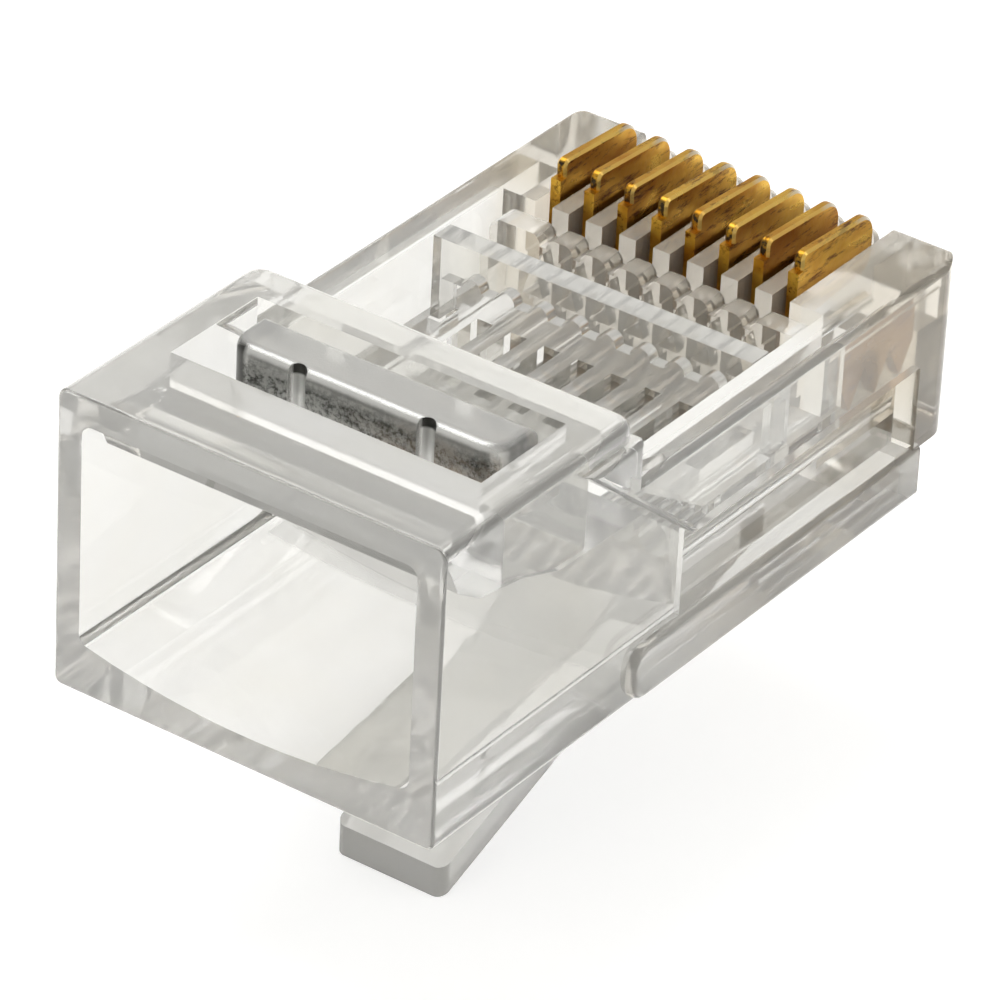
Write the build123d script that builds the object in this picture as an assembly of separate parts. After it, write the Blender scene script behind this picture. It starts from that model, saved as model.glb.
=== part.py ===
from build123d import *
import math
import os

# Eight-way modular plug, before it is crimped on its cable.
# X runs across the width, +Y is the way it goes into a jack, +Z is the contact side.
# Y = 0 is the nose, Z = 0 the latch side of the body. Sizes are in millimetres.

# Body
length = 21.55
mating_width = 11.68
rear_width = 11.2
rear_height = 8.27
mating_height = 6.55
block_length = 7.6
block_corner_radius = 0.5
block_top_radius = 0.35
lower_edge_radius = 0.2
entry_rim_radius = 0.1
nose_corner_radius = 0.95
nose_top_radius = 0.35
nose_lower_radius = 0.2
fin_front_radius = 0.8

# Step of the nose and the flanges along both sides
nose_step_depth = 1.45
nose_step_height = 1.65
flange_bottom = 4.05
flange_root = 0.4
flange_top_radius = 0.22
shoulder_behind_block = 2.3
shoulder_ahead_of_block = 2.25
shoulder_top_height = 7.7
shoulder_edge_radius = 0.18
lower_rail_from_entry = 7.7
lower_rail_radius = 0.6
lower_rail_bottom = 0.15
pocket_wall_depth = 0.42
pocket_nose_distance = 1.8

# Cable cavity
entry_wall = 0.75
entry_roof = 0.79
floor_middle = 0.88
floor_side = 1.45
cavity_corner_radius = 0.3
roof_steps = [(0.5, 0), (0.95, 0.95), (1.8, 1.48), (3.5, 1.78)]
roof_dip_from_entry = 5.0
roof_dip_height = 5.18
funnel_roof_length = 2.55
funnel_floor_length = 0.75
funnel_roof_drop = 0.1
throat_from_entry = 10.95

# Window in the rear block and the cable anchor that swings down through it
window_width = 9.0
window_from_entry = 2.85
window_length = 3.35
anchor_width = 8.0
anchor_depth = 1.85
anchor_top = 8.2
anchor_height = 1.75
anchor_end_radius = 0.7
anchor_top_radius = 0.3
anchor_chamfer = 0.2
anchor_gap = 0.06
anchor_groove_radius = 0.27
anchor_groove_outside = 0.04
anchor_groove_x = 1.88
anchor_web_width = 5.4
anchor_web_thickness = 0.34

# Well between the block and the contacts, with the conductor anchor in it
side_wall = 1.04
well_floor = 4.2
well_shelf_height = 6.2
well_slope_length = 3.2
bar_from_nose = 7.15
bar_thickness = 0.7
bar_height = 1.13
bar_leg_width = 0.28
bar_travel = 1.1
bar_gap = 0.05
bar_notch_radius = 0.3
floor_slot_width = 0.5
floor_slot_length = 2.3

# Comb that guides the blades, and the lobed wall across its rear end
comb_length = 4.85
wire_slot_width = 0.52
wire_slot_floor = 5.3
wall_thickness = 0.7
wall_top = 6.1
wall_end_gap = 0.12
wall_end_radius = 0.35
lobe_gap = 0.2
lobe_gap_floor = 5.8
lobe_radius = 0.28
arch_floor = 4.6
arch_half_width = 0.3
arch_top = 5.62

# Contacts and the conductor channels under them
contact_count = 8
pitch = 1.016
blade_thickness = 0.3
slot_clearance = 0.025
blade_front = 1.0
blade_length = 3.2
blade_top = 7.55
blade_top_fall = 0.18
blade_height = 4.1
blade_travel = 1.4
blade_tab = 0.18
blade_tab_drop = 0.5
blade_front_radius = 0.6
blade_rear_radius = 0.2
blade_front_bevel = 0.07
tine_count = 3
tine_depth = 1.0
blade_end_clearance = 0.1
slot_floor_clearance = 0.12
front_slot_floor = 4.4
channel_radius = 0.45
channel_height = 2.6
channel_end = 1.25

# Latch
latch_tab_angle = 20.4
latch_reach = 15.35
latch_wide_width = 6.1
latch_tab_width = 3.3
latch_tab_thickness = 0.82
latch_shoulder_from_nose = 8.4
latch_shoulder_bottom = -3.0
latch_shoulder_thickness = 1.05
latch_bend_length = 2.2
latch_bend_lead = 0.9
latch_bend_radius = 0.8
latch_tip_bottom = -6.5
latch_corner_radius = 0.3
knuckle_radius = 0.42
knuckle_gap = 0.05
root_radius = 0.85
root_drop = 0.75

# Places worked out from the sizes above
entry_y = -length
block_front_y = entry_y + block_length
shoulder_foot_y = block_front_y + shoulder_ahead_of_block
slot_width = blade_thickness + 2 * slot_clearance
wall_rear_y = -comb_length - wall_thickness
well_half_width = mating_width / 2 - side_wall
cavity_half_width = rear_width / 2 - entry_wall
contact_x = [(index - (contact_count - 1) / 2) * pitch for index in range(contact_count)]
knuckle_y = -(nose_step_depth + root_radius)
knuckle_z = -root_drop
overrun = 1.0
overlap = 0.1
tolerance = 0.01


def block(x_low, x_high, y_low, y_high, z_low, z_high):
    """Box between two values of each coordinate."""
    size = Box(x_high - x_low, y_high - y_low, z_high - z_low)
    return Pos((x_low + x_high) / 2, (y_low + y_high) / 2, (z_low + z_high) / 2) * size


def side_prism(outline, x_low, x_high):
    """Solid whose side view is the outline of (y, z) points."""
    corners = [(x_low, y, z) for y, z in outline]
    return extrude(make_face(Polyline(*corners, close=True)), amount=x_high - x_low, dir=(1, 0, 0))


def plan_prism(outline, z_low, z_high):
    """Solid whose plan is the outline of (x, y) points."""
    corners = [(x, y, z_low) for x, y in outline]
    return extrude(make_face(Polyline(*corners, close=True)), amount=z_high - z_low, dir=(0, 0, 1))


def cross_rod(radius, y, z, x_low, x_high):
    """Round rod along X."""
    rod = Rot(0, 90, 0) * Cylinder(radius, x_high - x_low)
    return Pos((x_low + x_high) / 2, y, z) * rod


def long_rod(radius, x, z, y_low, y_high):
    """Round rod along Y."""
    rod = Rot(90, 0, 0) * Cylinder(radius, y_high - y_low)
    return Pos(x, (y_low + y_high) / 2, z) * rod


def edges_along(part, axis, test):
    """Straight edges of a part that run along an axis and pass a test on their middle."""
    return [edge for edge in part.edges().filter_by(axis) if test(edge.center())]


def outer_body():
    """Outside of the moulded housing, still solid, without flanges and latch."""
    outline = [
        (entry_y, 0),
        (-nose_step_depth, 0),
        (-nose_step_depth, nose_step_height),
        (0, nose_step_height),
        (0, mating_height),
        (block_front_y, mating_height),
        (block_front_y, rear_height),
        (entry_y, rear_height),
    ]
    half = rear_width / 2
    body = side_prism(outline, -half, half)
    block_corners = edges_along(body, Axis.Z, lambda middle: abs(middle.Y - block_front_y) < tolerance)
    body = fillet(block_corners, block_corner_radius)
    top_rim = [edge for edge in body.edges() if edge.bounding_box().min.Z > rear_height - tolerance]
    top_rim = [edge for edge in top_rim if edge.center().Y > entry_y + tolerance]
    body = fillet(top_rim, block_top_radius)
    lower_edges = edges_along(body, Axis.Y, lambda middle: middle.Z < tolerance)
    body = fillet(lower_edges, lower_edge_radius)
    entry_face = body.faces().sort_by(Axis.Y)[0]
    return fillet(entry_face.edges(), entry_rim_radius)


def side_flange(side):
    """Raised flange of the mating end with its slanting shoulder, the rail below it and the nose's side."""
    outer = side * mating_width / 2
    inner = side * (min(mating_width, rear_width) / 2 - flange_root)
    x_low = min(outer, inner)
    x_high = max(outer, inner)
    rail_rear_y = entry_y + lower_rail_from_entry

    def outer_edges(part, test):
        on_outside = part.faces().sort_by(Axis.X)[-1 if side > 0 else 0].edges()
        return [edge for edge in on_outside if test(edge.center())]

    upper = [
        (block_front_y - shoulder_behind_block, shoulder_top_height),
        (shoulder_foot_y, flange_bottom),
        (0, flange_bottom),
        (0, mating_height),
        (block_front_y, mating_height),
        (block_front_y, shoulder_top_height),
    ]
    flange = side_prism(upper, x_low, x_high)
    ahead = outer_edges(flange, lambda middle: middle.Y > shoulder_foot_y)
    top = [edge for edge in ahead if edge.center().Z > flange_bottom + tolerance]
    flange = fillet(top, flange_top_radius)
    shoulder = outer_edges(flange, lambda middle: middle.Y < shoulder_foot_y)
    flange = fillet(shoulder, shoulder_edge_radius)
    rail = block(x_low, x_high, rail_rear_y, -nose_step_depth, lower_rail_bottom, nose_step_height)
    rail_ends = edges_along(rail, Axis.X, lambda middle: middle.Y < rail_rear_y + tolerance)
    rail = fillet(rail_ends, lower_rail_radius)
    rail_rim = outer_edges(rail, lambda middle: middle.Y < -nose_step_depth - tolerance)
    nose_side = block(x_low, x_high, -pocket_nose_distance, 0, nose_step_height, flange_bottom + overlap)
    return flange + fillet(rail_rim, shoulder_edge_radius) + nose_side


def side_pocket(side):
    """Shallow pocket between the flange and the rail, from the shoulder to the nose."""
    face = side * (rear_width / 2 - pocket_wall_depth)
    beyond = side * (mating_width / 2 + overrun)
    return block(
        min(face, beyond),
        max(face, beyond),
        shoulder_foot_y,
        -pocket_nose_distance,
        nose_step_height,
        flange_bottom,
    )


def nose_envelope():
    """Space that the body fills, with the nose's upright corners and its two front edges rounded."""
    half = mating_width / 2
    plan = plan_prism([(-half, 0), (half, 0), (half, entry_y), (-half, entry_y)], 0, rear_height)
    corners = edges_along(plan, Axis.Z, lambda middle: middle.Y > -tolerance)
    profile = [
        (entry_y, 0),
        (-nose_step_depth, 0),
        (-nose_step_depth, nose_step_height),
        (0, nose_step_height),
        (0, mating_height),
        (block_front_y, mating_height),
        (block_front_y, rear_height),
        (entry_y, rear_height),
    ]
    side = side_prism(profile, -half, half)
    front_edges = ShapeList(edges_along(side, Axis.X, lambda middle: middle.Y > -tolerance)).sort_by(Axis.Z)
    side = fillet(front_edges[-1], nose_top_radius)
    front_edges = ShapeList(edges_along(side, Axis.X, lambda middle: middle.Y > -tolerance)).sort_by(Axis.Z)
    side = fillet(front_edges[0], nose_lower_radius)
    return fillet(corners, nose_corner_radius) & side


def fin_relief():
    """Space above the comb's fins where their front corners are rounded more than the nose."""
    half = contact_x[-1]
    radius = fin_front_radius
    corner = block(-half, half, -radius, overrun, mating_height - radius, mating_height + overrun)
    return corner - cross_rod(radius, -radius, mating_height - radius, -half, half)


def cable_cavity():
    """Space for the cable: wide at the entry, closing to the row of channels."""
    half = cavity_half_width
    top = rear_height - entry_roof
    throat_y = entry_y + throat_from_entry
    roof_y = throat_y - funnel_roof_length
    floor_y = throat_y - funnel_floor_length
    out_y = entry_y - overrun
    floor = ThreePointArc((-half, 0, floor_side), (0, 0, floor_middle), (half, 0, floor_side))
    rest = Polyline((half, 0, floor_side), (half, 0, top), (-half, 0, top), (-half, 0, floor_side))
    section = make_face([floor, rest])
    section = fillet(section.vertices(), cavity_corner_radius)
    across = Pos(0, out_y, 0) * extrude(section, amount=throat_y - out_y, dir=(0, 1, 0))
    throat_low = channel_height - channel_radius
    throat_high = channel_height + channel_radius
    roof = [(entry_y + from_entry, top - drop) for from_entry, drop in reversed(roof_steps)]
    side = side_prism(
        [
            (out_y, 0),
            (floor_y, 0),
            (floor_y, floor_middle),
            (throat_y, throat_low),
            (throat_y, throat_high),
            (roof_y, roof_dip_height - funnel_roof_drop),
            (entry_y + roof_dip_from_entry, roof_dip_height),
            *roof,
            (out_y, top),
        ],
        -half,
        half,
    )
    throat_half = contact_x[-1] + channel_radius
    plan = plan_prism(
        [
            (-half, out_y),
            (half, out_y),
            (half, floor_y),
            (throat_half, throat_y),
            (-throat_half, throat_y),
            (-half, floor_y),
        ],
        0,
        rear_height,
    )
    return across & side & plan


def window():
    """Window through the roof of the rear block."""
    y_low = entry_y + window_from_entry
    half = window_width / 2
    z_low = roof_dip_height - overlap
    return block(-half, half, y_low, y_low + window_length, z_low, rear_height + overrun)


def well():
    """Open well between the rear block and the comb."""
    top = rear_height + overrun
    return side_prism(
        [
            (block_front_y, top),
            (block_front_y, well_shelf_height),
            (block_front_y + well_slope_length, well_floor),
            (-comb_length, well_floor),
            (-comb_length, top),
        ],
        -well_half_width,
        well_half_width,
    )


def lobed_wall():
    """Wall across the comb's rear end, with a round-cornered lobe behind each blade."""
    half = well_half_width - wall_end_gap
    wall = block(-half, half, wall_rear_y, -comb_length + overlap, well_floor - overlap, wall_top)
    between = [(left + right) / 2 for left, right in zip(contact_x, contact_x[1:])]
    for x in between:
        wall -= block(x - lobe_gap / 2, x + lobe_gap / 2, entry_y, 0, lobe_gap_floor, wall_top + overrun)
    upper = edges_along(wall, Axis.Y, lambda middle: middle.Z > wall_top - tolerance)
    wall = fillet([edge for edge in upper if abs(edge.center().X) < half - tolerance], lobe_radius)
    upper = edges_along(wall, Axis.Y, lambda middle: middle.Z > wall_top - tolerance)
    wall = fillet([edge for edge in upper if abs(edge.center().X) > half - tolerance], wall_end_radius)
    for x in between:
        corners = [(x - arch_half_width, arch_floor), (x, arch_top), (x + arch_half_width, arch_floor)]
        outline = Polyline(*[(corner_x, wall_rear_y, z) for corner_x, z in corners], close=True)
        wall -= extrude(make_face(outline), amount=wall_thickness, dir=(0, 1, 0))
    return wall


def contact_slot(x):
    """Slot of one blade, wider above for the jack's wire, and the channel under it."""
    half = slot_width / 2
    top = mating_height + overrun
    blade_rear = blade_front + blade_length + blade_tab
    slot_floor = blade_top - blade_height - blade_travel - slot_floor_clearance
    pocket = block(
        x - half,
        x + half,
        -blade_rear - blade_end_clearance,
        -blade_front + blade_end_clearance,
        slot_floor,
        top,
    )
    front = block(x - half, x + half, -blade_front, overrun, front_slot_floor, top)
    rear = block(x - half, x + half, -comb_length, -blade_rear, well_floor, top)
    wide = wire_slot_width / 2
    wire_slot = block(x - wide, x + wide, -comb_length, overrun, wire_slot_floor, top)
    throat_y = entry_y + throat_from_entry
    channel = long_rod(channel_radius, x, channel_height, throat_y - overlap, -channel_end)
    floor_slot = block(
        x - floor_slot_width / 2,
        x + floor_slot_width / 2,
        -bar_from_nose - floor_slot_length,
        -bar_from_nose,
        channel_height,
        well_floor + overlap,
    )
    return pocket + front + rear + wire_slot + channel + floor_slot


def leg_pockets():
    """Pockets in the well's floor that the legs of the conductor anchor sink into."""
    reach = bar_leg_width + 2 * bar_gap
    y_low = -bar_from_nose - bar_thickness - bar_gap
    y_high = -bar_from_nose + bar_gap
    z_low = well_floor - bar_travel - bar_gap
    z_high = well_floor + overlap
    right = block(well_half_width - reach, well_half_width, y_low, y_high, z_low, z_high)
    return right + mirror(right, Plane.YZ)


def latch_root():
    """Rounded lip under the nose that the latch grows from."""
    half = latch_wide_width / 2
    lip = cross_rod(root_radius, knuckle_y, knuckle_z, -half, half)
    lip &= block(-half, half, knuckle_y, 0, knuckle_z - root_radius, 0)
    bridge = block(-half, half, knuckle_y, -nose_step_depth, knuckle_z, overlap)
    seat = cross_rod(knuckle_radius + knuckle_gap, knuckle_y, knuckle_z, -half, half)
    return lip + bridge - seat


def make_housing():
    """Clear moulded housing."""
    body = outer_body()
    for side in (-1, 1):
        body += side_flange(side)
        body -= side_pocket(side)
    body &= nose_envelope()
    body -= fin_relief()
    body -= cable_cavity()
    body -= window()
    body -= well()
    body += lobed_wall()
    for x in contact_x:
        body -= contact_slot(x)
    body -= leg_pockets()
    return body + latch_root()


def make_latch():
    """Springy latch: round root, wide part with two locking shoulders, and a press tab below a bend."""
    slope = math.tan(math.radians(latch_tab_angle))
    rise = latch_tab_thickness / math.cos(math.radians(latch_tab_angle))
    shoulder_y = -latch_shoulder_from_nose
    shoulder_top = latch_shoulder_bottom + latch_shoulder_thickness
    root_top = knuckle_z + knuckle_radius
    root_bottom = knuckle_z - knuckle_radius
    tip_y = -latch_reach
    bend_y = shoulder_y + latch_bend_lead
    wide_fall = (latch_shoulder_bottom - root_bottom) / (shoulder_y - knuckle_y)
    bend_bottom = root_bottom + wide_fall * (bend_y - knuckle_y)
    bend_end_y = bend_y - latch_bend_length
    bend_end_top_y = shoulder_y - latch_bend_length
    wide_half = latch_wide_width / 2
    tab_half = latch_tab_width / 2

    def under(y):
        return latch_tip_bottom + slope * (y - tip_y)

    wide = [
        (knuckle_y, root_top),
        (shoulder_y, shoulder_top),
        (shoulder_y, latch_shoulder_bottom),
        (knuckle_y, root_bottom),
    ]
    tab_outline = [
        (bend_y, bend_bottom),
        (shoulder_y, shoulder_top),
        (bend_end_top_y, under(bend_end_top_y) + rise),
        (tip_y, under(tip_y) + rise),
        (tip_y, under(tip_y)),
        (bend_end_y, under(bend_end_y)),
    ]
    tab = side_prism(tab_outline, -tab_half, tab_half)
    bends = edges_along(tab, Axis.X, lambda middle: tip_y + tolerance < middle.Y < shoulder_y - tolerance)
    tab = fillet(bends, latch_bend_radius)
    tip_corners = edges_along(tab, Axis.Z, lambda middle: middle.Y < tip_y + tolerance)
    tab = fillet(tip_corners, latch_corner_radius)
    root = cross_rod(knuckle_radius, knuckle_y, knuckle_z, -wide_half, wide_half)
    return side_prism(wide, -wide_half, wide_half) + tab + root


def make_cable_anchor():
    """Strain relief bar in the window, held at its front by a thin web."""
    front_y = entry_y + window_from_entry + window_length - anchor_gap
    rear_y = front_y - anchor_depth
    half = anchor_width / 2
    low = anchor_top - anchor_height
    web_y = front_y - anchor_web_thickness
    bar = block(-half, half, rear_y, web_y, low, anchor_top)
    bar = fillet(edges_along(bar, Axis.Z, lambda middle: middle.Y < rear_y + tolerance), anchor_end_radius)
    bar = fillet(bar.faces().sort_by(Axis.Z)[-1].edges(), anchor_top_radius)
    lower_rear = edges_along(
        bar, Axis.X, lambda middle: middle.Z < low + tolerance and middle.Y < rear_y + tolerance
    )
    bar = chamfer(lower_rear, anchor_chamfer)
    web_half = anchor_web_width / 2
    bar += block(-web_half, web_half, web_y - anchor_end_radius, front_y, low, low + anchor_web_thickness)
    groove = Cylinder(anchor_groove_radius, anchor_height + overrun)
    for side in (-1, 1):
        place = Pos(side * anchor_groove_x, rear_y - anchor_groove_outside, low + anchor_height / 2)
        bar -= place * groove
    return bar


def make_conductor_anchor():
    """Bar across the well that clamps the conductors, with a leg at each end."""
    half = well_half_width - bar_gap
    y_low = -bar_from_nose - bar_thickness
    y_high = -bar_from_nose
    low = mating_height - bar_height
    bar = block(-half, half, y_low, y_high, low, mating_height)
    leg = block(half - bar_leg_width, half, y_low, y_high, well_floor + bar_gap, low + overlap)
    bar += leg + mirror(leg, Plane.YZ)
    for x in contact_x:
        bar -= long_rod(bar_notch_radius, x, low, y_low - overlap, y_high + overlap)
    return bar


def make_contact(x):
    """Gold blade with a stepped rear edge and a row of piercing tines."""
    front = -blade_front
    rear = front - blade_length
    tab_rear = rear - blade_tab
    tip = blade_top - blade_height
    valley = tip + tine_depth
    tine_width = (front - tab_rear) / tine_count
    outline = [(front, valley), (front, blade_top - blade_top_fall), (rear, blade_top)]
    outline += [(rear, blade_top - blade_tab_drop), (tab_rear, blade_top - blade_tab_drop)]
    outline += [(tab_rear, valley)]
    for index in range(tine_count):
        start = tab_rear + index * tine_width
        outline += [(start + tine_width / 2, tip)]
        if index < tine_count - 1:
            outline += [(start + tine_width, valley)]
    half = blade_thickness / 2
    blade = side_prism(outline, x - half, x + half)
    front_edges = ShapeList(edges_along(blade, Axis.X, lambda middle: middle.Y > front - tolerance))
    blade = fillet(front_edges.sort_by(Axis.Z)[-1], blade_front_radius)
    blade = fillet(blade.edges().filter_by(Axis.X).sort_by(Axis.Z)[-1], blade_rear_radius)
    bevel_rear = front - blade_front_radius - tolerance
    bevelled = [edge for edge in blade.edges() if edge.bounding_box().min.Y > bevel_rear]
    bevelled = [edge for edge in bevelled if edge.bounding_box().size.X < tolerance]
    bevelled = [edge for edge in bevelled if edge.center().Z > valley]
    return chamfer(bevelled, blade_front_bevel)


def main():
    os.makedirs("parts", exist_ok=True)
    nodes = {
        "housing": make_housing(),
        "latch": make_latch(),
        "cable_anchor": make_cable_anchor(),
        "conductor_anchor": make_conductor_anchor(),
    }
    for number, x in enumerate(contact_x, start=1):
        nodes[f"contact_{number}"] = make_contact(x)
    for name, part in nodes.items():
        export_step(part, f"parts/{name}.step")


main()
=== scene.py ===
import math

import bpy
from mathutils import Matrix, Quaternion, Vector


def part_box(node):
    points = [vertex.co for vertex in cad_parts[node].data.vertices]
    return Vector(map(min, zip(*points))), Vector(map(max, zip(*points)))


# Clear eight-way modular plug on a white floor.
# Places and sizes on the part are in millimetres, and MM turns them into metres.
# Most pairs of numbers say where an effect starts and where it is full. A pair of roughnesses is
# what such an effect goes from and to, and a bump has its strength and its depth in millimetres.
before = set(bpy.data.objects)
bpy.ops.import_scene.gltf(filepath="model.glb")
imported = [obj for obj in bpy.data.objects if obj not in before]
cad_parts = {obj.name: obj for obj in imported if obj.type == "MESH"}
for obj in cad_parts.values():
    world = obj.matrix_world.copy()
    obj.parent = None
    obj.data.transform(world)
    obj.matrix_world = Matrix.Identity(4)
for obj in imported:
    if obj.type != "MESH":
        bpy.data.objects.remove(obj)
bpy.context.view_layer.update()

MM = 0.001

# Camera, solved from the photograph
CAMERA_TARGET = Vector((0.138, -11.519, 2.589)) * MM
CAMERA_PLACE = Vector((83.602, -133.663, 95.135)) * MM
CAMERA_ROLL = math.radians(2.96)
CAMERA_CLIP = (0.01, 10)
SENSOR = 36.0
LENS = 259.4

# Floor, surroundings and lamps, with lengths in metres
FLOOR_HALF = 2.0
FLOOR_ALBEDO = 0.62
FLOOR_GLOW = 0.64
FLOOR_ROUGHNESS = 0.9
SKY_LOW = (0.78, 0.77, 0.745, 1)
SKY_HIGH = (0.55, 0.545, 0.52, 1)
KEY_POWER = 0.34
KEY_SIZE = 0.22
KEY_PLACE = Vector((-0.10, -0.02, 0.30))
RIM_POWER = 0.07
RIM_SIZE = 0.12
RIM_PLACE = Vector((0.20, 0.10, 0.16))

# Bounces of the light, many of them because the plastic is seen through several walls
DIFFUSE_BOUNCES = 2
LIGHT_PATH_BOUNCES = 9

# Clear plastic, with the size of each noise in cycles per millimetre
PLASTIC_PALE = (1.0, 0.995, 0.975, 1)
PLASTIC_YELLOW = (0.975, 0.965, 0.925, 1)
PLASTIC_IOR = 1.585
PLASTIC_CLEAR = 0.88
PLASTIC_MILKY = 0.66
PATCHES = {"scale": 0.35, "detail": 3.0}
PATCH_RANGE = (0.35, 0.7)
STREAKS = {"scale": 1.0, "detail": 4.0, "roughness": 0.65}
STREAK_STRETCH = (0.6, 0.12, 6.0)
SCRATCH_RANGE = (0.62, 0.72)
SCRATCH_ROUGHNESS = 0.10
MOTTLE = {"scale": 2.2, "detail": 5.0}
MOTTLE_RANGE = (0.4, 0.75)
MOTTLE_ROUGHNESS = (0.015, 0.09)
WAVES = {"scale": 0.5, "detail": 2.0}
WAVE_BUMP = (0.25, 0.03)

# Nose, comb, well, block, latch and entry rim, where the plastic changes
NOSE_START = (-5.2, -3.9)
NOSE_BOTTOM = (0.5, 3.0)
NOSE_TINT = (0.80, 0.75, 0.65, 1)
NOSE_HAZE = 0.08
COMB_START = (-5.7, -5.58)
COMB_HALF = (4.2, 4.1)
COMB_TINT = (1.0, 0.94, 0.84, 1)
COMB_CLEAR = 0.76
WELL_START = (-14.1, -13.9)
WELL_HALF = (5.2, 5.1)
BLOCK_TOP = (8.0, 8.2)
LATCH_LOW = (-3.0, -4.5)
ENTRY_RIM = (-21.3, -21.4)
ENTRY_FACING = (-0.8, -0.95)
UPWARD_FACING = (0.6, 0.9)

# Wall of the window beside the entry, painted greyer: painted shade for the dark internal reflection in that
# wall
LIP_PLACE = -18.70
LIP_REACH = (0.08, 0.04)
LIP_BOTTOM = (6.2, 6.4)
LIP_FACING = (0.8, 0.9)
LIP_PAINTED_SHADE = (0.30, 0.30, 0.29, 1)
LIP_CLEAR = 0.30

# Frosted rear face of the cable anchor, with painted light on its top and in its grooves, and painted shade
# at the tops of the grooves and at its left end
FROST_FACING = (-0.30, -0.70)
FROST_DARK = (0.07, 0.07, 0.065, 1)
FROST_PALE = (0.50, 0.50, 0.48, 1)
# Pale colour of the painted light on the face's top and in its grooves
FROST_PAINTED_LIGHT = (0.82, 0.82, 0.80, 1)
FROST_BROWN = (0.32, 0.24, 0.17, 1)
FROST_METAL = 0.8
FROST_ROUGHNESS = (0.04, 0.28)
FROST_BUMP = (0.5, 0.02)
GRAIN = {"scale": 7.0, "detail": 5.0, "roughness": 0.8}
GRAIN_SHARE = 0.8
BLOTS = {"scale": 1.1, "detail": 4.0, "roughness": 0.7, "distortion": 0.6}
BLOT_STRETCH = (0.5, 1.0, 1.3)
BLOT_SHARE = 0.5
FROST_RANGE = (0.58, 0.72)
STAIN_ACROSS = (-1.0, 2.0)
STAIN_RANGE = (0.42, 0.6)
STAIN_SHARE = 0.6
# Heights over which the painted light comes in towards the top, and the places of the grooves
FROST_FADE = (7.65, 8.1)
GROOVE_PLACE = 1.88
GROOVE_REACH = (0.27, 0.22)
# Tops of the grooves and the left end of the face, which get painted shade
GROOVE_CAP_SHADE = (7.88, 7.94)
ANCHOR_END_PAINTED_SHADE = (-3.35, -3.5)

# Gold plate of the blades
GOLD_DARK = (0.16, 0.055, 0.006, 1)
GOLD_BROWN = (0.50, 0.21, 0.014, 1)
GOLD_BRIGHT = (0.82, 0.50, 0.07, 1)
GOLD_EDGE = (0.05, 0.035, 0.02, 1)
GOLD_PAINTED_HIGHLIGHT = (0.76, 0.57, 0.20, 1)
SILVER_PAINTED_GLINT = (0.72, 0.71, 0.66, 1)
GOLD_ROUGHNESS = (0.42, 0.24)
GOLD_BUMP = (0.5, 0.016)
BANDS = {"scale": 0.9, "detail": 3.0, "roughness": 0.6, "distortion": 0.4}
BAND_STRETCH = (1.0, 0.55, 0.9)
BAND_RANGE = (0.32, 0.68)
DARK_STREAKS = {"scale": 1.6, "detail": 5.0, "roughness": 0.75}
DARK_STRETCH = (2.0, 0.5, 2.4)
DARK_RANGE = (0.52, 0.64)
# Painted shade, darker towards the bottom of the blades
LOW_SHADE = (6.9, 6.3)
LOW_SHADE_SHARE = 0.55
PITS = {"scale": 5.0, "detail": 3.0}
PIT_RANGE = (0.42, 0.56)
STAMPED_FACING = (-0.55, -0.85)
STAMPED_BOTTOM = (7.05, 7.10)
# Painted highlight on the bevel, and a painted silver glint towards its front end
BEVEL_SLANT = (0.3, 0.5)
BEVEL_FLAT = (0.95, 0.85)
BEVEL_HIGHLIGHT_SHARE = 0.45
GLINT_FRONT = (-1.9, -1.3)
GLINT_SHARE = 0.8
GRAIN_OF_GOLD = {"scale": 7.0, "detail": 4.0}


def add_camera():
    """Camera at the photograph's angle."""
    data = bpy.data.cameras.new("camera")
    data.sensor_width = SENSOR
    data.lens = LENS
    data.clip_start, data.clip_end = CAMERA_CLIP
    camera = bpy.data.objects.new("camera", data)
    bpy.context.scene.collection.objects.link(camera)
    camera.location = CAMERA_PLACE
    look = (CAMERA_TARGET - CAMERA_PLACE).to_track_quat("-Z", "Y")
    camera.rotation_mode = "QUATERNION"
    camera.rotation_quaternion = look @ Quaternion((0, 0, 1), CAMERA_ROLL)
    bpy.context.scene.camera = camera


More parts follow.
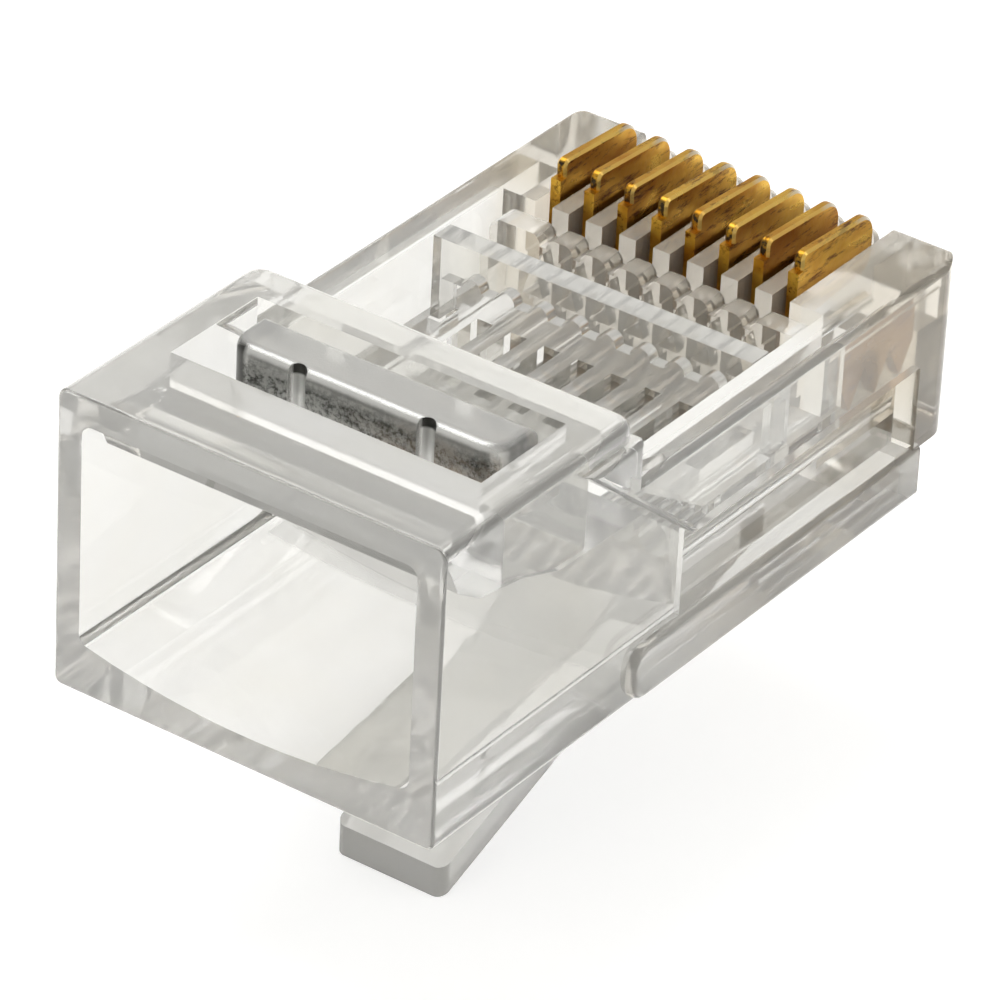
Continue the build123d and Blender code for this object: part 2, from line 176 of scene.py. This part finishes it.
class Tree:
    """Node tree of one material, with short calls for the nodes it needs."""

    def __init__(self, name):
        self.material = bpy.data.materials.new(name)
        self.material.use_nodes = True
        self.tree = self.material.node_tree
        self.tree.nodes.clear()
        self.output = self.add("OutputMaterial")

    def fill(self, socket, value):
        """Links an input to another node's output, or gives it a value."""
        if isinstance(value, bpy.types.NodeSocket):
            self.tree.links.new(value, socket)
        else:
            socket.default_value = value

    def add(self, kind, values=None, **settings):
        """Node of a kind, with its settings and the values or links of its inputs."""
        node = self.tree.nodes.new("ShaderNode" + kind)
        for name, value in settings.items():
            setattr(node, name, value)
        for socket, value in (values or {}).items():
            self.fill(node.inputs[socket], value)
        return node

    def place(self, stretch=(1, 1, 1)):
        """Position on the piece in millimetres, stretched along its axes."""
        where = self.add("TexCoord")
        scale = tuple(value / MM for value in stretch)
        return self.add("Mapping", {"Vector": where.outputs["Object"], "Scale": scale}).outputs[0]

    def axes(self, vector):
        """The three parts of a vector, named X, Y and Z."""
        return self.add("SeparateXYZ", {0: vector}).outputs

    def facing(self):
        """The three parts of the direction in which the surface faces on the piece."""
        return self.axes(self.add("TexCoord").outputs["Normal"])

    def noise(self, place, scale, detail=2.0, roughness=0.5, distortion=0.0):
        """Noise with a size in cycles per millimetre."""
        values = {"Vector": place, "Scale": scale, "Detail": detail, "Roughness": roughness,
                  "Distortion": distortion}
        return self.add("TexNoise", values).outputs["Fac"]

    def spread(self, value, low_painted_shade, high, to_low=0.0, to_high=1.0):
        """Value spread from one range to another, clamped."""
        values = {"Value": value, "From Min": low_painted_shade, "From Max": high, "To Min": to_low, "To Max": to_high}
        return self.add("MapRange", values, clamp=True).outputs["Result"]

    def math(self, operation, first, *others):
        """One kind of arithmetic, with the values taken in turn."""
        result = first
        for other in others or (0.0,):
            result = self.add("Math", {0: result, 1: other}, operation=operation).outputs[0]
        return result

    def distance(self, value, place=0.0):
        """How far a value is from a place, to either side."""
        return self.math("ABSOLUTE", self.math("SUBTRACT", value, place))

    def blend(self, amount, first, second):
        """Mix of two colours."""
        node = self.add("Mix", data_type="RGBA")
        for name, value in (("Factor_Float", amount), ("A_Color", first), ("B_Color", second)):
            self.fill(next(item for item in node.inputs if item.identifier == name), value)
        return next(item for item in node.outputs if item.identifier == "Result_Color")

    def bump(self, height, strength, depth):
        """Small relief with a depth in millimetres."""
        values = {"Height": height, "Strength": strength, "Distance": depth * MM}
        return self.add("Bump", values).outputs["Normal"]

    def finish(self, surface):
        """Links the surface and gives the material."""
        self.tree.links.new(surface.outputs[0], self.output.inputs["Surface"])
        return self.material


def add_light(name, place, size, power):
    """Square soft lamp that points at the plug."""
    data = bpy.data.lights.new(name, "AREA")
    data.shape = "SQUARE"
    data.size = size
    data.energy = power
    lamp = bpy.data.objects.new(name, data)
    bpy.context.scene.collection.objects.link(lamp)
    lamp.location = place
    lamp.rotation_euler = (CAMERA_TARGET - place).to_track_quat("-Z", "Y").to_euler()


def add_floor(height):
    """White floor that keeps a soft shadow."""
    signs = ((-1, -1), (1, -1), (1, 1), (-1, 1))
    corners = [(FLOOR_HALF * x, FLOOR_HALF * y, height) for x, y in signs]
    mesh = bpy.data.meshes.new("floor")
    mesh.from_pydata(corners, [], [(0, 1, 2, 3)])
    floor = bpy.data.objects.new("floor", mesh)
    bpy.context.scene.collection.objects.link(floor)
    tree = Tree("floor")
    paper = tree.add("BsdfPrincipled", {
        "Base Color": (FLOOR_ALBEDO, FLOOR_ALBEDO, FLOOR_ALBEDO, 1),
        "Roughness": FLOOR_ROUGHNESS,
        "Specular IOR Level": 0.0,
    })
    ray = tree.add("LightPath").outputs
    shown = tree.math("MAXIMUM", ray["Is Camera Ray"], ray["Is Glossy Ray"], ray["Is Transmission Ray"])
    glow = tree.add("Emission", {"Strength": tree.math("MULTIPLY", shown, FLOOR_GLOW)})
    both = tree.add("AddShader", {0: paper.outputs[0], 1: glow.outputs[0]})
    mesh.materials.append(tree.finish(both))


def add_world():
    """Studio surroundings: pale at the horizon, greyer overhead."""
    world = bpy.data.worlds.new("studio")
    world.use_nodes = True
    tree = world.node_tree
    background = tree.nodes["Background"]
    direction = tree.nodes.new("ShaderNodeTexCoord")
    split = tree.nodes.new("ShaderNodeSeparateXYZ")
    ramp = tree.nodes.new("ShaderNodeValToRGB")
    ramp.color_ramp.elements[0].color = SKY_LOW
    ramp.color_ramp.elements[1].color = SKY_HIGH
    tree.links.new(direction.outputs["Generated"], split.inputs[0])
    tree.links.new(split.outputs["Z"], ramp.inputs[0])
    tree.links.new(ramp.outputs[0], background.inputs["Color"])
    background.inputs["Strength"].default_value = 1.0
    bpy.context.scene.world = world


def clear_plastic():
    """Clear plastic of the housing, the latch and the conductor anchor.

    It has faint yellow patches, soft waves and hair scratches, is tinted at the nose,
    has painted shade on the wall of the window beside the entry,
    and is milkier on the comb, the well's floor, the block's top, the entry rim and the latch.
    """
    tree = Tree("clear_plastic")
    place = tree.place()
    where = tree.axes(place)
    normal = tree.facing()

    # Areas
    upward = tree.spread(normal["Z"], *UPWARD_FACING)
    off_middle = tree.distance(where["X"])
    nose = tree.math("MULTIPLY", tree.spread(where["Y"], *NOSE_START), tree.spread(where["Z"], *NOSE_BOTTOM))
    comb = tree.math("MULTIPLY", tree.spread(off_middle, *COMB_HALF), tree.spread(where["Y"], *COMB_START))
    well = tree.math("MULTIPLY", tree.spread(off_middle, *WELL_HALF), tree.spread(where["Y"], *WELL_START),
                     upward, tree.math("SUBTRACT", 1.0, nose))
    rim = tree.math("MULTIPLY", tree.spread(normal["Y"], *ENTRY_FACING), tree.spread(where["Y"], *ENTRY_RIM))
    block_top = tree.math("MULTIPLY", upward, tree.spread(where["Z"], *BLOCK_TOP))
    latch_low = tree.spread(where["Z"], *LATCH_LOW)
    lip = tree.math("MULTIPLY", tree.spread(tree.distance(where["Y"], LIP_PLACE), *LIP_REACH),
                    tree.spread(tree.distance(normal["Y"]), *LIP_FACING),
                    tree.spread(where["Z"], *LIP_BOTTOM))

    # Colour
    patches = tree.spread(tree.noise(place, **PATCHES), *PATCH_RANGE)
    colour = tree.blend(patches, PLASTIC_PALE, PLASTIC_YELLOW)
    # The lip's grey is painted shade for the dark internal reflection in that wall
    for area, tint in ((nose, NOSE_TINT), (comb, COMB_TINT), (lip, LIP_PAINTED_SHADE)):
        colour = tree.blend(area, colour, tint)

    # Clearness
    milky = tree.math("MAXIMUM", block_top, latch_low, well, rim)
    clear = tree.math("MINIMUM", tree.spread(milky, 0.0, 1.0, PLASTIC_CLEAR, PLASTIC_MILKY),
                      tree.spread(comb, 0.0, 1.0, PLASTIC_CLEAR, COMB_CLEAR))
    clear = tree.math("SUBTRACT", clear, tree.math("MULTIPLY", lip, PLASTIC_CLEAR - LIP_CLEAR))

    # Polish
    scratches = tree.spread(tree.noise(tree.place(STREAK_STRETCH), **STREAKS), *SCRATCH_RANGE)
    mottle = tree.spread(tree.noise(place, **MOTTLE), *MOTTLE_RANGE, *MOTTLE_ROUGHNESS)
    roughness = tree.math("ADD", tree.math("MULTIPLY", scratches, SCRATCH_ROUGHNESS), mottle,
                          tree.math("MULTIPLY", nose, NOSE_HAZE))
    return tree.finish(tree.add("BsdfPrincipled", {
        "Base Color": colour,
        "Roughness": roughness,
        "IOR": PLASTIC_IOR,
        "Transmission Weight": clear,
        "Normal": tree.bump(tree.noise(place, **WAVES), *WAVE_BUMP),
    }))


def frosted_plastic():
    """Clear plastic with a frosted, silvery face towards the cable entry.

    The face is grainy with a brown stain. Painted light makes it paler towards its top and in its two
    grooves, and painted shade darkens the tops of the grooves and its left end.
    """
    tree = Tree("frosted_plastic")
    place = tree.place()
    where = tree.axes(place)
    normal = tree.facing()

    # Areas
    rear = tree.spread(normal["Y"], *FROST_FACING)
    # Painted light towards the top of the face
    painted_top_light = tree.spread(where["Z"], *FROST_FADE)
    groove = tree.spread(tree.distance(tree.distance(where["X"]), GROOVE_PLACE), *GROOVE_REACH)
    # Painted shade at the tops of the grooves and at the left end of the face
    groove_cap_painted_shade = tree.math("MULTIPLY", groove, tree.spread(where["Z"], *GROOVE_CAP_SHADE))
    end_painted_shade = tree.spread(where["X"], *ANCHOR_END_PAINTED_SHADE)

    # Colour
    grain = tree.noise(place, **GRAIN)
    blots = tree.noise(tree.place(BLOT_STRETCH), **BLOTS)
    speckle = tree.math("ADD", tree.math("MULTIPLY", grain, GRAIN_SHARE),
                        tree.math("MULTIPLY", blots, BLOT_SHARE))
    stain = tree.math("MULTIPLY", tree.spread(where["X"], *STAIN_ACROSS), tree.spread(blots, *STAIN_RANGE),
                      STAIN_SHARE)
    silver = tree.blend(tree.spread(speckle, *FROST_RANGE), FROST_DARK, FROST_PALE)
    # Painted light on the face's top and in its grooves; painted shade at the tops of the grooves and at its
    # left end
    for area, tint in ((stain, FROST_BROWN), (painted_top_light, FROST_PAINTED_LIGHT), (groove, FROST_PAINTED_LIGHT), (groove_cap_painted_shade, FROST_DARK),
                       (end_painted_shade, FROST_DARK)):
        silver = tree.blend(area, silver, tint)
    return tree.finish(tree.add("BsdfPrincipled", {
        "Base Color": tree.blend(rear, PLASTIC_PALE, silver),
        "Metallic": tree.math("MULTIPLY", rear, FROST_METAL),
        "Roughness": tree.spread(rear, 0.0, 1.0, *FROST_ROUGHNESS),
        "IOR": PLASTIC_IOR,
        "Transmission Weight": tree.spread(normal["Z"], *UPWARD_FACING, PLASTIC_CLEAR, PLASTIC_MILKY),
        "Normal": tree.bump(grain, *FROST_BUMP),
    }))


def gold():
    """Gold plate with brown bands, dark streaks, painted shade low down, a pitted stamped rear edge, a
    painted highlight on the bevel and a painted silver glint at its front end.
    """
    tree = Tree("gold_contact")
    place = tree.place()
    where = tree.axes(place)
    normal = tree.facing()

    # Areas
    # Painted shade towards the bottom of the blades
    low_painted_shade = tree.math("MULTIPLY", tree.spread(where["Z"], *LOW_SHADE), LOW_SHADE_SHARE)
    stamped = tree.math("MULTIPLY", tree.spread(normal["Y"], *STAMPED_FACING),
                        tree.spread(where["Z"], *STAMPED_BOTTOM),
                        tree.spread(tree.noise(place, **PITS), *PIT_RANGE))
    across = tree.distance(normal["X"])
    # Painted highlight on the slanted bevel faces, with a painted silver glint towards the front
    bevel = tree.math("MULTIPLY", tree.spread(across, *BEVEL_SLANT), tree.spread(across, *BEVEL_FLAT))
    front_glint = tree.math("MULTIPLY", bevel, tree.spread(where["Y"], *GLINT_FRONT), GLINT_SHARE)

    # Colour
    bands = tree.spread(tree.noise(tree.place(BAND_STRETCH), **BANDS), *BAND_RANGE)
    streaks = tree.spread(tree.noise(tree.place(DARK_STRETCH), **DARK_STREAKS), *DARK_RANGE)
    colour = tree.blend(bands, GOLD_BROWN, GOLD_BRIGHT)
    # Dark streaks and painted shade low down, the stamped edge, then the painted highlight and glint on the
    # bevel
    for area, tint in ((tree.math("MAXIMUM", streaks, low_painted_shade), GOLD_DARK), (stamped, GOLD_EDGE),
                       (tree.math("MULTIPLY", bevel, BEVEL_HIGHLIGHT_SHARE), GOLD_PAINTED_HIGHLIGHT), (front_glint, SILVER_PAINTED_GLINT)):
        colour = tree.blend(area, colour, tint)
    return tree.finish(tree.add("BsdfPrincipled", {
        "Base Color": colour,
        "Metallic": 1.0,
        "Roughness": tree.spread(bands, 0.0, 1.0, *GOLD_ROUGHNESS),
        "Normal": tree.bump(tree.noise(place, **GRAIN_OF_GOLD), *GOLD_BUMP),
    }))


def paint(node, material):
    """Gives a carried-over CAD piece its material."""
    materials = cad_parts[node].data.materials
    materials.clear()
    materials.append(material)


add_camera()
add_world()
add_floor(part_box("latch")[0].z)
add_light("key", KEY_PLACE, KEY_SIZE, KEY_POWER)
add_light("rim", RIM_PLACE, RIM_SIZE, RIM_POWER)

cycles = bpy.context.scene.cycles
cycles.diffuse_bounces = DIFFUSE_BOUNCES
cycles.max_bounces = LIGHT_PATH_BOUNCES
cycles.glossy_bounces = LIGHT_PATH_BOUNCES
cycles.transmission_bounces = LIGHT_PATH_BOUNCES

# The first start of a name that fits gives the material, and the last fits every name
finishes = {"contact": gold(), "cable_anchor": frosted_plastic(), "": clear_plastic()}
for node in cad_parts:
    paint(node, next(material for start, material in finishes.items() if node.startswith(start)))

bpy.context.scene.view_settings.view_transform = "Standard"
